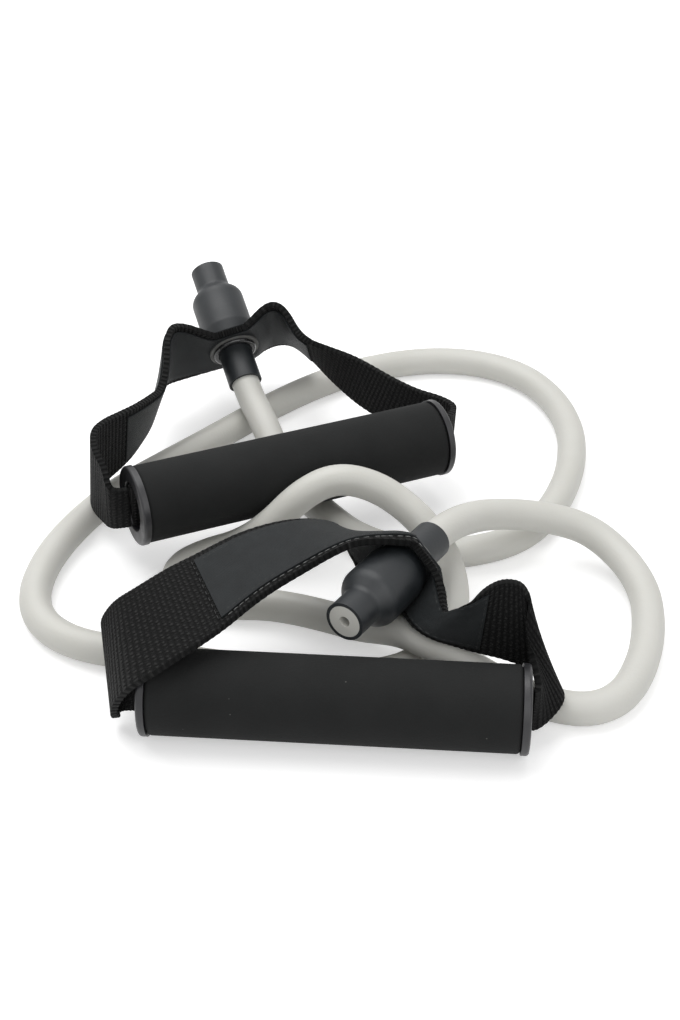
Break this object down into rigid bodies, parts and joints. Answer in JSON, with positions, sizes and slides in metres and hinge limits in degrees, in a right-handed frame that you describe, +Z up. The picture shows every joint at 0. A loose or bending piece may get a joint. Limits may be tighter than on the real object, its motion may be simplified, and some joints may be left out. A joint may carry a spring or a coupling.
{
  "type": "resistance band",
  "caption": "Elastic tube resistance band with two foam grips on webbing straps, lying loosely looped.",
  "frame": {"origin": "on the floor, under the middle of the box round the two handles and their straps", "axes": "+Z up; +X to the right as pictured, roughly along the front grip; +Y away from the viewer"},
  "size_m": [0.2375, 0.2725, 0.0566],
  "materials": {
    "tube_grey": "smooth matte elastic tube, warm light grey",
    "foam_black": "fine-celled matte foam",
    "cap_black": "satin moulded plastic",
    "core_black": "plain plastic tube",
    "webbing_black": "coarse ribbed webbing",
    "patch_black": "smooth satin sewn tape",
    "eyelet_black": "glossy black rolled eyelet",
    "washer_grey": "dull grey disc",
    "stopper_black": "smooth matte moulded rubber",
    "plug_grey": "pale plug in the tube end"
  },
  "bodies": {
    "tube_and_straps": {"tube": "tube_grey", "front_strap": "webbing_black", "front_patch": "patch_black", "front_grommet_eyelet": "eyelet_black", "front_grommet_washer": "washer_grey", "rear_strap": "webbing_black", "rear_patch": "patch_black", "rear_grommet_eyelet": "eyelet_black", "rear_grommet_washer": "washer_grey"},
    "front_grip": {"front_foam_grip": "foam_black", "front_grip_core": "core_black", "front_end_cap_left": "cap_black", "front_end_cap_right": "cap_black"},
    "front_stopper": {"front_stopper_sleeve": "stopper_black", "front_tube_end": "tube_grey", "front_stopper_plug": "plug_grey"},
    "rear_grip": {"rear_foam_grip": "foam_black", "rear_grip_core": "core_black", "rear_end_cap_left": "cap_black", "rear_end_cap_right": "cap_black"},
    "rear_stopper": {"rear_stopper_sleeve": "stopper_black", "rear_tube_end": "tube_grey", "rear_stopper_plug": "plug_grey"}
  },
  "joints": [
    {"name": "front_grip_turn", "type": "hinge", "parent": "tube_and_straps", "child": "front_grip", "pos_m": [0.01, -0.1159, 0.0155], "axis": [0.9972, -0.0745, 0], "continuous": true},
    {"name": "front_stopper_swivel", "type": "hinge", "parent": "tube_and_straps", "child": "front_stopper", "pos_m": [0.0132, -0.0982, 0.035], "axis": [0.5342, 0.8444, -0.04], "continuous": true},
    {"name": "rear_grip_turn", "type": "hinge", "parent": "tube_and_straps", "child": "rear_grip", "pos_m": [-0.0076, 0.0056, 0.0276], "axis": [0.9107, 0.4125, -0.0233], "continuous": true},
    {"name": "rear_stopper_swivel", "type": "hinge", "parent": "tube_and_straps", "child": "rear_stopper", "pos_m": [-0.0477, 0.1322, 0.0502], "axis": [0.3092, -0.8244, -0.4741], "continuous": true}
  ]
}
